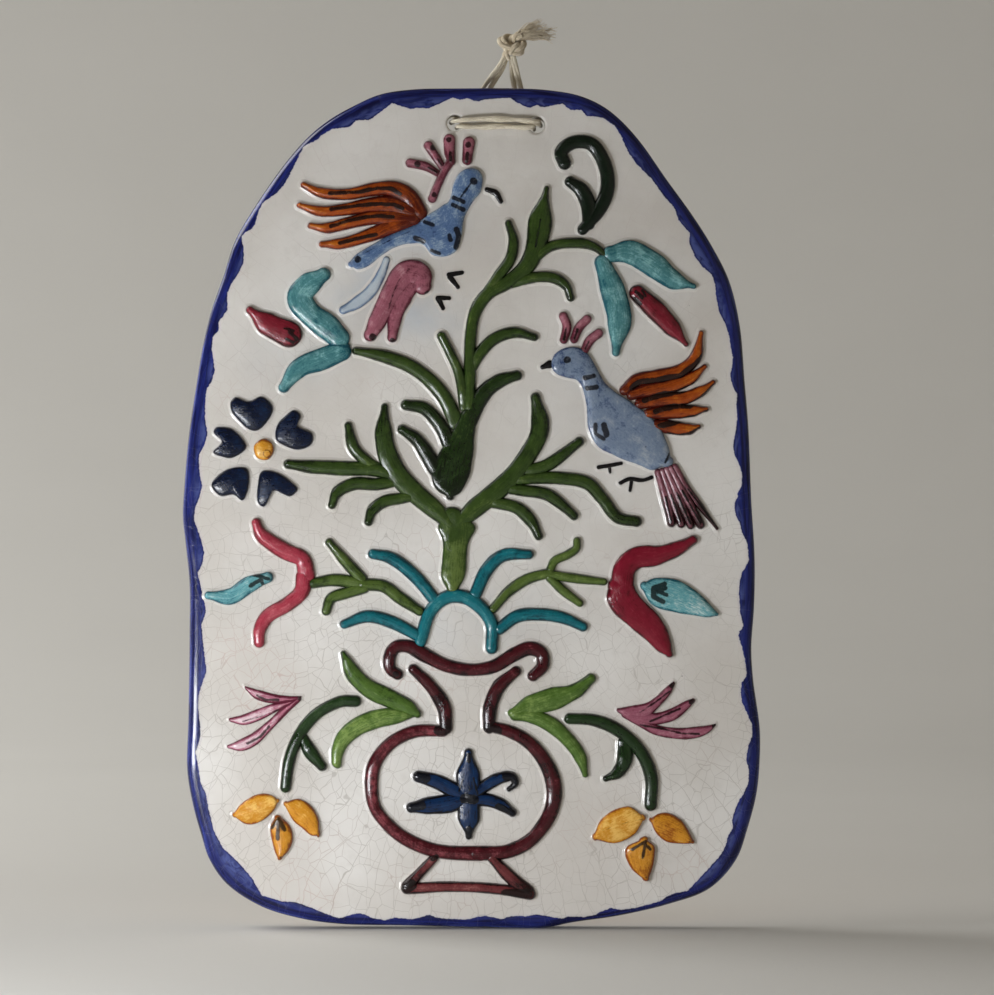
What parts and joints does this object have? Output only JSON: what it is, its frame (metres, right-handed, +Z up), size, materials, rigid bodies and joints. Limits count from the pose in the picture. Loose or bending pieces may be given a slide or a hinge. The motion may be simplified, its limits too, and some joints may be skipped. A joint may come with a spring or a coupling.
{
  "type": "wall plaque",
  "caption": "Tall arched slab of glazed earthenware with a raised folk picture of a vase, flowering plant and birds, hung by a knotted cotton string.",
  "frame": {"origin": "middle of the flat back, in the plane of the wall", "axes": "+Z up the plaque towards its string, +X to the right as the picture is looked at, +Y out of the back into the wall; the picture faces -Y"},
  "size_m": [0.2067, 0.0171, 0.3266],
  "materials": {
    "painted_glaze": "creamy white crazed glaze with coloured relief and a cobalt blue rim",
    "cotton_string": "undyed twisted cotton twine"
  },
  "bodies": {
    "root": {"plaque": "painted_glaze", "string_strand_1": "cotton_string", "string_strand_2": "cotton_string", "string_knot": "cotton_string"}
  },
  "joints": []
}
